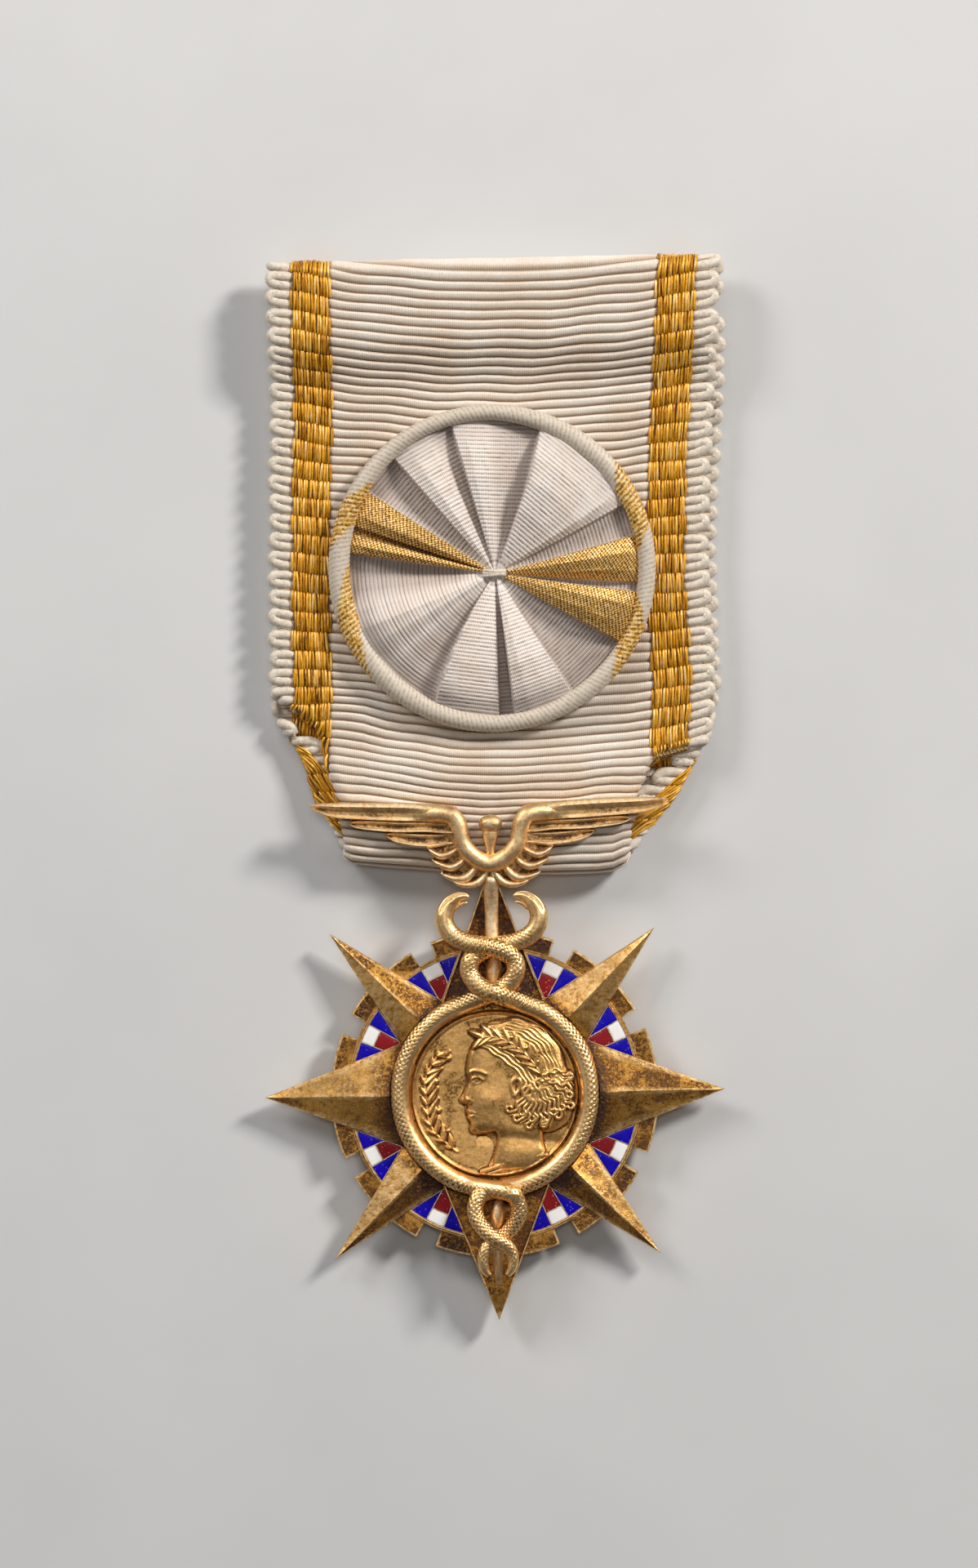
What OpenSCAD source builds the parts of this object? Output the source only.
// Order badge lying on its back, front up, on its folded ribbon.
// All drawing below is done about the centre of the star; the last step
// moves it so that the origin is under the middle of the whole badge.

/* [Star] */
// Radius of the ray tips
ray_r = 19.25; // [18.6:0.05:20]
// Half angle of the four main rays, in degrees
main_half = 20.5; // [17:0.5:22]
// Half angle of the four diagonal rays, in degrees
diag_half = 13; // [10:0.5:14]
// Height of the rays' ridges above the star's plate
ridge_h = 1.7; // [0.8:0.1:2.2]
// Outer radius of the cogwheel's teeth
cog_r = 13.72; // [13.2:0.02:14.5]
// Radius at the bottom of the tooth gaps
cog_root_r = 12.35; // [12.3:0.05:12.8]
// Thickness of the star's plate
plate_t = 1; // [0.8:0.1:1.2]

/* [Enamel] */
// Outer radius of the enamel band
band_out = 12; // [11.8:0.05:12.1]
// Inner radius of the enamel band
band_in = 9; // [8.9:0.05:9.2]
// Radius of the wall between the white and the red cells
band_mid = 10.88; // [10.4:0.02:11.2]
// Width of the metal walls between cells
cell_wall = 0.18; // [0.12:0.02:0.3]
// Depth of the cells
cell_depth = 0.4; // [0.2:0.05:0.5]

/* [Medallion] */
// Radius of the medallion
med_r = 7.02; // [6.6:0.02:7.05]
// Height of the medallion's raised rim
med_rim_h = 0.75; // [0.4:0.05:1]

/* [Snakes] */
// Radius of the circle that the snakes make round the medallion
snake_ring_r = 7.93; // [7.9:0.01:8]
// Radius of a snake's body
snake_r = 0.78; // [0.7:0.01:0.8]
// How far a snake rises or sinks where the two cross
snake_lift = 0.42; // [0.2:0.02:0.6]

/* [Wings] */
// Half the span of the wings
wing_span = 14.95; // [14:0.05:15.2]
// Thickness of the longest feather
wing_t = 1.1; // [0.8:0.1:1.6]

/* [Ribbon] */
// Thickness of the cloth
cloth_t = 1; // [1:0.05:1.1]
// Height of the ribbon's upper fold above the star's centre
ribbon_top = 69.9; // [68:0.1:74]
// Height of the ribbon's lower fold above the star's centre
ribbon_low = 18.4; // [18.35:0.05:18.8]

/* [Rosette] */
// Outer radius of the rosette
rosette_r = 13.65; // [13:0.05:14]
// Thickness of the piped ring
pipe_d = 1.5; // [1.2:0.05:1.7]
// Height of the pleats at the rim of the fan
pleat_h = 1.5; // [0.8:0.1:2]

/* [Hidden] */
gap = 0.04;                    // between pieces that lie together
disc_t = 1.15;                 // reverse disc
plate_z = disc_t + 0.05;       // underside of the star's plate
top_z = plate_z + plate_t;     // its upper face
flat_z = top_z + 0.5;          // upper face of the two flat rays
seat_r = 8.78;                 // recess that holds the medallion and the snakes
ribbon_right = 20.4;           // furthest point of the ribbon's right edge
ray_low = 18.95;               // tip of the lower ray
shift = [-(ribbon_right - ray_r) / 2, -(ribbon_top - ray_low) / 2, 0];
up_cut = 17.9;                 // the upper ray ends here, under the wings

// rays: direction, tip radius, half angle, ridged (1) or flat (0)
rays = [
    [0, ray_r, main_half, 1], [45, ray_r, diag_half, 1],
    [90, ray_r, main_half, 0], [135, ray_r, diag_half, 1],
    [180, ray_r, main_half, 1], [225, ray_r, diag_half, 1],
    [270, ray_low, main_half + 1, 0], [315, ray_r, diag_half, 1]];

// enamel cells, as degrees off the nearer diagonal ray
cell_a = [15.3, 22.9];         // both edges of the white and red column

// one snake from the tip of its head to the end of its tail, apart from the
// round stretch: x, y, rise (1 over, -1 under), radius as a share of snake_r
snake_head = [
    [-1.75, 16.2, 0, 0.35], [-2.2, 16.35, 0, 0.85], [-2.9, 16.3, 0, 0.98],
    [-3.7, 15.6, 0, 0.95], [-3.98, 14.7, 0, 1], [-3.5, 13.55, 0, 1],
    [-2.2, 12.75, 0.5, 1], [-0.6, 12.4, 1, 1], [0.8, 12.0, 0.6, 1],
    [1.8, 11.2, 0, 1], [1.9, 10.1, 0, 1], [1.1, 9.05, -0.6, 1],
    [-0.3, 8.4, -1, 1]];
snake_tail = [
    [0.9, -8.15, 1, 0.95], [1.75, -9.0, 0.4, 0.9], [1.75, -10.2, 0, 0.85],
    [1.15, -11.2, -0.7, 0.8], [0.25, -12.0, -1, 0.78], [-0.8, -12.7, -0.3, 0.72],
    [-1.25, -13.5, 0, 0.62], [-1.15, -14.5, 0, 0.5], [-0.75, -15.1, 0, 0.3]];

// the right wing: the arm's centreline, x, y, rise, radius
arm = [[0, 19.35, 0, 0.8], [1.2, 19.75, 0.1, 0.85], [2.15, 20.8, 0.2, 0.8],
       [2.75, 22.3, 0.3, 0.78], [3.6, 23.35, 0.3, 0.78], [5.2, 23.6, 0.2, 0.68],
       [7.5, 23.62, 0.1, 0.6]];
// the three long feathers: root x, tip x, lower y, upper y, tip y
long_feathers = [[3.2, 14.95, 22.95, 24.2, 24.25], [2.8, 12.9, 21.85, 23.0, 22.9],
                 [2.6, 8.75, 20.75, 21.9, 21.95]];
// the four short ones: centre x, centre y, half length, half width, direction
short_feathers = [[3.55, 20.45, 1.5, 0.62, -8], [2.95, 19.65, 1.6, 0.62, -22],
                  [2.25, 19.0, 1.55, 0.62, -36], [1.3, 18.55, 1.45, 0.66, -52]];
wing_z = 2 * cloth_t + 1.3;    // back of the wings

// ribbon, seen from above: edges of the front layer and of the back layer
front_left = [[-17.3, 69.9], [-17.33, 62.4], [-17.3, 56], [-17.55, 50.8],
              [-17.8, 38.5], [-17.6, 33.6], [-17, 31.4], [-13.4, 30.2],
              [-12.6, 27], [-12, 24.5], [-11.6, 18]];
front_right = [[19.76, 69.9], [19.4, 63.8], [18.6, 53], [18.3, 43.6],
               [18.6, 34], [18.2, 31], [14.2, 29], [13.05, 27.7],
               [11.75, 24.7], [10.9, 18]];
back_left = [[-17, 69.9], [-17, 56], [-17.3, 44], [-17.2, 31.6], [-15.4, 29.2],
             [-14.7, 27.9], [-13.8, 24.4], [-13, 22.9], [-11.9, 19.8], [-11.6, 18]];
back_right = [[20.4, 69.9], [20.1, 62], [19.3, 50], [18.9, 43], [19.1, 33],
              [18, 29.7], [16.8, 27.9], [15.4, 25.3], [14.4, 23.6], [12.8, 21.5],
              [11.2, 18]];
// side folds between the two layers
flap_left = [[-17.1, 31.8], [-15.4, 29.2], [-14.7, 27.9], [-13.9, 24.95],
             [-12.3, 24.95], [-12.3, 31.8]];
flap_right = [[18.1, 31.8], [18, 29.7], [16.8, 27.9], [15.4, 25.3], [15.2, 24.95],
              [12.1, 24.95], [12.1, 31.8]];
// middle of the cloth seen from the side: y, height in cloth thicknesses
rise = 1.4;                    // lift of the upper end over the pin
function front_line() = [[fold_y, low_mid + fold_r], [26, low_mid + fold_r],
    [30, 1.3 + cloth_t / 2], [59, 1.3 + cloth_t / 2],
    [63.5, 1.3 + cloth_t / 2 + rise], [top_y, 1.3 + cloth_t / 2 + rise]];
function back_line() = [[fold_y, cloth_t / 2], [55, cloth_t / 2],
    [60, cloth_t / 2 + rise], [top_y, cloth_t / 2 + rise]];
fold_out = (2 * cloth_t + 1.2) / 2; // outer radius of the lower fold
fold_r = fold_out - cloth_t / 2;
fold_y = ribbon_low + fold_out;
low_mid = fold_out;
top_out = (2 * cloth_t + 0.3) / 2;  // outer radius of the upper fold
top_r = top_out - cloth_t / 2;
top_y = ribbon_top - top_out;
top_mid = rise + top_out;

// rosette
ros = [0.6, 43.9];             // its centre
fan_z = 1.3 + cloth_t + 0.05;
// pleats clockwise from the top: where each starts, in degrees, and its height
pleats = [[4, 0.7], [35, 1], [77, 0.6], [88, 0.9], [112, 0.7], [133, 0.9],
          [158, 1], [186, 0.9], [214, 0.8], [246, 0.6], [274, 0.9], [291, 0.7],
          [318, 1]];

// ---- shared shapes ----

function ring_pt(r, a) = [r * cos(a), r * sin(a)];
// a point on the smooth curve through four others, at share t of the middle span
function curve_pt(a, b, c, d, t) =
    0.5 * (2 * b + (c - a) * t + (2 * a - 5 * b + 4 * c - d) * t * t
           + (3 * b - a - 3 * c + d) * t * t * t);
function curve(p, n) = let (m = len(p) - 1) concat(
    [for (i = [0:m - 1], k = [0:n - 1])
        curve_pt(p[max(i - 1, 0)], p[i], p[i + 1], p[min(i + 2, m)], k / n)],
    [p[m]]);
function unit(v) = v / norm(v);

// a round rod along points [x, y, z, radius], closed at both ends
module rod(p, sides = 8, flat = 1) {
    m = len(p) - 1;
    function dir(i) = unit([for (k = [0:2])
        p[min(i + 1, m)][k] - p[max(i - 1, 0)][k]]);
    pts = [for (i = [0:m]) let (d = dir(i), s = unit([-d[1], d[0], 0]),
            u = cross(d, s))
        for (j = [0:sides - 1]) let (a = (j + 0.5) * 360 / sides)
            [p[i][0], p[i][1], p[i][2]]
            + p[i][3] * (cos(a) * s + flat * sin(a) * u)];
    faces = concat(
        [for (i = [0:m - 1], j = [0:sides - 1]) let (k = (j + 1) % sides)
            [i * sides + j, i * sides + k, (i + 1) * sides + k]],
        [for (i = [0:m - 1], j = [0:sides - 1]) let (k = (j + 1) % sides)
            [i * sides + j, (i + 1) * sides + k, (i + 1) * sides + j]],
        [[for (j = [sides - 1:-1:0]) j]],
        [[for (j = [0:sides - 1]) m * sides + j]]);
    polyhedron(pts, [for (f = faces) [for (k = [len(f) - 1:-1:0]) f[k]]]);
}

module ray_2d(r, half, grow = 0, cut = 100) {
    intersection() {
        polygon([[4, -(r - 4) * tan(half) - grow], [r + grow, -grow / 4],
                 [r + grow, grow / 4], [4, (r - 4) * tan(half) + grow]]);
        translate([0, -20]) square([cut, 40]);
    }
}

// a ridged ray, pointing along +x
module ridged_ray(r, half) {
    w = (r - 4) * tan(half);
    z0 = plate_z;
    z1 = top_z - 0.15;
    z2 = top_z + ridge_h;
    polyhedron(
        [[4, -w, z0], [4, w, z0], [r, 0, z0 + 0.3],
         [4, -w, z1], [4, w, z1], [r, 0, z0 + 0.75], [4, 0, z2]],
        [[0, 2, 1], [0, 3, 5, 2], [1, 2, 5, 4], [3, 6, 5], [4, 5, 6],
         [0, 1, 4, 6, 3]]);
}

// one enamel cell seen from above; s is 1 or -1 for the side of the diagonal
module sector_2d(r0, r1, a0, a1) {
    intersection() {
        difference() {
            circle(r = r1, $fn = 96);
            circle(r = r0, $fn = 96);
        }
        polygon([[0, 0], ring_pt(30, a0), ring_pt(30, a1)]);
    }
}

module cells_2d(kind, g = 0) {
    w = cell_wall / 2 + g;
    da = w / 11 * 57.3;
    for (q = [45, 135, 225, 315], s = [-1, 1]) rotate(q) mirror([0, s < 0 ? 1 : 0])
        difference() {
            if (kind == "white")
                sector_2d(band_mid + w, band_out - g, cell_a[0] + da, cell_a[1] - da);
            else if (kind == "red")
                sector_2d(band_in + w, band_mid - w, cell_a[0] + da, cell_a[1] - da);
            else union() {
                sector_2d(band_in + w, band_out - g, 3, cell_a[0] - da);
                sector_2d(band_in + 1 + w, band_out - g, cell_a[1] + da, 36);
            }
            ray_2d(ray_r, diag_half, cell_wall + g);
            rotate(45) ray_2d(ray_r, main_half, cell_wall + g);
        }
}

// ---- pieces ----

module star_body() color([0.66, 0.49, 0.25]) {
    difference() {
        union() {
            translate([0, 0, plate_z]) cylinder(r = cog_root_r, h = plate_t, $fn = 128);
            // teeth
            translate([0, 0, plate_z]) linear_extrude(plate_t - 0.1)
                difference() {
                    circle(r = cog_r, $fn = 128);
                    circle(r = cog_root_r - 0.3, $fn = 128);
                    for (q = [45, 135, 225, 315], s = [-1, 1]) rotate(q)
                        mirror([0, s < 0 ? 1 : 0])
                            polygon([[0, 0], ring_pt(20, 15.2), ring_pt(20, 22.6)]);
                }
            for (r = rays) rotate(r[0])
                if (r[3] == 1) ridged_ray(r[1], r[2]);
                else translate([0, 0, plate_z]) linear_extrude(flat_z - plate_z)
                    ray_2d(r[1], r[2], 0, r[0] == 90 ? up_cut : 100);
        }
        // recess for the medallion and the snakes
        translate([0, 0, top_z]) cylinder(r = seat_r, h = 5, $fn = 96);
        // cells
        for (k = ["blue", "white", "red"])
            translate([0, 0, top_z - cell_depth]) linear_extrude(cell_depth + 1)
                cells_2d(k);
    }
}

module enamel(kind) translate([0, 0, top_z - cell_depth + gap])
    linear_extrude(cell_depth - gap + 0.02) cells_2d(kind, gap);
module enamel_blue() color([0.05, 0.03, 0.6]) enamel("blue");
module enamel_white() color([0.92, 0.93, 0.95]) enamel("white");
module enamel_red() color([0.55, 0.1, 0.13]) enamel("red");

module reverse_disc() color([0.62, 0.46, 0.24]) rotate_extrude($fn = 96)
    polygon([[0, 0], [10.2, 0], [10.8, 0.35], [10.8, disc_t], [0, disc_t]]);

module medallion() color([0.7, 0.53, 0.28]) translate([0, 0, top_z + gap]) {
    rotate_extrude($fn = 96)
        polygon([[0, 0], [med_r, 0], [med_r, med_rim_h - 0.1],
                 [med_r - 0.1, med_rim_h], [med_r - 0.35, med_rim_h],
                 [med_r - 0.45, med_rim_h - 0.15], [0, med_rim_h - 0.1]]);
    // the head in low relief, plainly: skull, neck and hair
    translate([0, 0, 0.3]) linear_extrude(1.15) {
        translate([1.1, 1.1]) scale(1) circle(r = 3, $fn = 48);
        polygon([[0.3, -0.8], [3.4, -0.4], [3.2, -4.6], [0.6, -5.6]]);
    }
    translate([0, 0, 0.3]) linear_extrude(0.95) {
        translate([2.7, 1.2]) circle(r = 2.9, $fn = 48);
        translate([4.4, -1]) circle(r = 1.9, $fn = 48);
    }
}

function snake_path(s) = let (
    z = top_z + gap + snake_r,
    up = flat_z + gap + snake_r + 0.05,
    bend = [for (i = [1:13]) let (a = 93 + i * 12.6)
        [snake_ring_r * cos(a), snake_ring_r * sin(a)]])
    curve(concat(
        [for (p = snake_head) [s * p[0], p[1],
            up + 0.35 + s * -1 * (-p[2]) * snake_lift, p[3] * snake_r]],
        [for (p = bend) [s * p[0], p[1], z, snake_r]],
        [for (p = snake_tail) [s * p[0], p[1],
            up + 0.3 + s * p[2] * snake_lift, p[3] * snake_r]]), 2);

module caduceus() color([0.75, 0.56, 0.3]) {
    // snakes
    for (s = [1, -1]) rod(snake_path(s), 8);
    // staff: lower stretch, upper stretch rising to the wings, neck and knob
    translate([0, 0, flat_z + gap]) {
        staff_piece(-16, -8.9);
        staff_piece(8.9, 16.6);
    }
    rod([[0, 15.8, flat_z + 0.72, 0.62], [0, 18, wing_z + 0.25, 0.66],
         [0, 19.6, wing_z + 0.75, 0.7]], 8);
    rod([[0, 19.4, wing_z + 0.7, 0.85], [0, 20.6, wing_z + 0.7, 0.6],
         [0, 21.9, wing_z + 0.75, 0.5]], 8);
    translate([0.05, 22.55, wing_z + 0.85]) sphere(r = 0.85, $fn = 24);
    for (s = [1, -1]) wing(s);
}

module staff_piece(y0, y1) translate([0, y0, 0]) rotate([-90, 0, 0])
    intersection() {
        cylinder(r = 0.62, h = y1 - y0, $fn = 24);
        translate([-1, -1, -1]) cube([2, 1, y1 - y0 + 2]);
    }

module wing(s) mirror([s < 0 ? 1 : 0, 0, 0]) {
    k = wing_span / 14.95;
    rod([for (p = curve(arm, 3)) [p[0] * k, p[1], wing_z + 0.85 + p[2], p[3]]], 8);
    for (i = [0:2]) let (f = long_feathers[i])
        translate([0, 0, wing_z]) linear_extrude(wing_t - 0.2 * i)
            polygon([[f[0] * k, f[2] + 0.1], [(f[1] - 3) * k, f[2]],
                     [(f[1] - 1.2) * k, f[2] + (f[4] - f[2]) * 0.35],
                     [f[1] * k, f[4]], [(f[1] - 1.5) * k, f[3]],
                     [f[0] * k, f[3]]]);
    for (i = [0:3]) let (f = short_feathers[i])
        translate([f[0], f[1], wing_z]) rotate(f[4])
            linear_extrude(wing_t - 0.2 - 0.1 * i) {
                translate([-f[2], -f[3]]) square([2 * f[2] - f[3], 2 * f[3]]);
                translate([f[2] - f[3], 0]) circle(r = f[3], $fn = 24);
            }
    // web behind the arm and the feathers' roots
    translate([0, 0, wing_z]) linear_extrude(0.6)
        polygon([[0, 18.2], [1.6, 18.1], [3.6, 19.4], [4.4, 21], [4.6, 23.4],
                 [3, 23.4], [2, 20.8], [0, 19.8]]);
}

// wire: posts on the backs of both wings and a bar across the lower fold
bar_z = fold_out;
module suspension_bar() color([0.6, 0.45, 0.24]) {
    w = [[-12.6, 23.65], [-10.6, 21.4], [-10.3, fold_y], [9.9, fold_y],
         [10.2, 21.4], [12.4, 23.65]];
    rod([for (p = w) [p[0], p[1], bar_z, 0.45]], 8);
    for (p = [w[0], w[5]]) translate([p[0], p[1], bar_z - 0.4])
        cylinder(r = 0.42, h = wing_z - gap - bar_z + 0.4, $fn = 24);
}

function side_pts(line, half) = [for (i = [0:len(line) - 1])
    let (a = line[max(i - 1, 0)], b = line[min(i + 1, len(line) - 1)],
         d = unit(b - a)) line[i] + half * [-d[1], d[0]]];
function back_to_front(p) = [for (i = [len(p) - 1:-1:0]) p[i]];

// a layer of cloth: its line seen from the side, cut to an outline from above
module layer(line, left, right) intersection() {
    rotate([90, 0, 90]) translate([0, 0, -22]) linear_extrude(44)
        polygon(concat(side_pts(line, cloth_t / 2),
                       back_to_front(side_pts(line, -cloth_t / 2))));
    linear_extrude(12) polygon(concat(left, back_to_front(right)));
}

// a fold between two layers: half a tube lying along x
module cloth_fold(y, z, r_out, x0, x1, s) translate([x0, y, z]) rotate([90, 0, 90])
    intersection() {
        difference() {
            cylinder(r = r_out, h = x1 - x0, $fn = 48);
            translate([0, 0, -1]) cylinder(r = r_out - cloth_t, h = x1 - x0 + 2,
                                           $fn = 48);
        }
        translate([s > 0 ? 0 : -5, -5, -1]) cube([5, 10, x1 - x0 + 2]);
    }

module ribbon() color([0.9, 0.86, 0.8]) {
    layer(front_line(), front_left, front_right);
    layer(back_line(), back_left, back_right);
    cloth_fold(top_y, top_mid, top_out, -17.2, 19.8, 1);
    cloth_fold(fold_y, low_mid, fold_out, -11.65, 10.95, -1);
    for (f = [flap_left, flap_right])
        translate([0, 0, cloth_t + 0.1]) linear_extrude(cloth_t) polygon(f);
}

// where an angle (clockwise from the top) falls in the table of pleats:
// 0 at the start of a pleat, 1 at its end; and that pleat's height
function pleat_no(a) = max([for (i = [0:len(pleats) - 1]) a >= pleats[i][0] ? i : 0]);
function pleat_z(a0) = let (a = a0 < pleats[0][0] ? a0 + 360 : a0, i = pleat_no(a),
    b = i + 1 < len(pleats) ? pleats[i + 1][0] : pleats[0][0] + 360,
    t = (a - pleats[i][0]) / (b - pleats[i][0]))
    pleats[i][1] * (0.35 + 0.65 * sqrt(max(0, 1 - pow(2 * t - 0.7, 2) / 1.7)));

module rosette_fan() color([0.85, 0.82, 0.82]) {
    n = 96;
    radii = [1.2, 4.5, 8.5, rosette_r - pipe_d - 0.1];
    m = len(radii);
    pts = concat([[0, 0, 0]], [[0, 0, 1.1]],
        [for (r = radii, j = [0:n - 1]) let (a = j * 360 / n)
            [r * sin(a), r * cos(a), 0]],
        [for (r = radii, j = [0:n - 1]) let (a = j * 360 / n)
            [r * sin(a), r * cos(a), 0.9 + pleat_h * pleat_z(a)
                * pow(min(1, r / 9), 0.7) * (r > 11 ? 0.8 : 1)]]);
    top = 2 + m * n;
    faces = concat(
        [for (j = [0:n - 1]) let (k = (j + 1) % n) [0, 2 + j, 2 + k]],
        [for (j = [0:n - 1]) let (k = (j + 1) % n) [1, top + k, top + j]],
        [for (i = [0:m - 2], j = [0:n - 1]) let (k = (j + 1) % n)
            [2 + i * n + j, 2 + (i + 1) * n + j, 2 + (i + 1) * n + k]],
        [for (i = [0:m - 2], j = [0:n - 1]) let (k = (j + 1) % n)
            [2 + i * n + j, 2 + (i + 1) * n + k, 2 + i * n + k]],
        [for (i = [0:m - 2], j = [0:n - 1]) let (k = (j + 1) % n)
            [top + i * n + j, top + (i + 1) * n + k, top + (i + 1) * n + j]],
        [for (i = [0:m - 2], j = [0:n - 1]) let (k = (j + 1) % n)
            [top + i * n + j, top + i * n + k, top + (i + 1) * n + k]],
        [for (j = [0:n - 1]) let (k = (j + 1) % n, o = 2 + (m - 1) * n, p = top + (m - 1) * n)
            [o + j, p + j, o + k]],
        [for (j = [0:n - 1]) let (k = (j + 1) % n, o = 2 + (m - 1) * n, p = top + (m - 1) * n)
            [o + k, p + j, p + k]]);
    translate([ros[0], ros[1], fan_z]) polyhedron(pts, faces);
}

module rosette_ring() color([0.93, 0.9, 0.85])
    translate([ros[0], ros[1], fan_z + pipe_d / 2]) rotate_extrude($fn = 96)
        translate([rosette_r - pipe_d / 2, 0]) circle(r = pipe_d / 2, $fn = 24);

// sewing plate, needle, hinge block and catch, one plain piece
module brooch_pin() color([0.78, 0.76, 0.7]) translate([1.2, 64.5, 0]) {
    translate([-14, -1.5, rise - 0.5]) cube([28, 3, 0.45]);
    translate([-14, -1, 0]) cube([1.6, 2, rise - 0.3]);
    translate([12.4, -1, 0]) cube([1.6, 2, rise - 0.3]);
    translate([-13, 0, 0.42]) rotate([0, 90, 0]) cylinder(r = 0.35, h = 26, $fn = 24);
}

module placed() translate(shift) children();
placed() star_body();
placed() enamel_blue();
placed() enamel_white();
placed() enamel_red();
placed() reverse_disc();
placed() medallion();
placed() caduceus();
placed() suspension_bar();
placed() ribbon();
placed() rosette_fan();
placed() rosette_ring();
placed() brooch_pin();
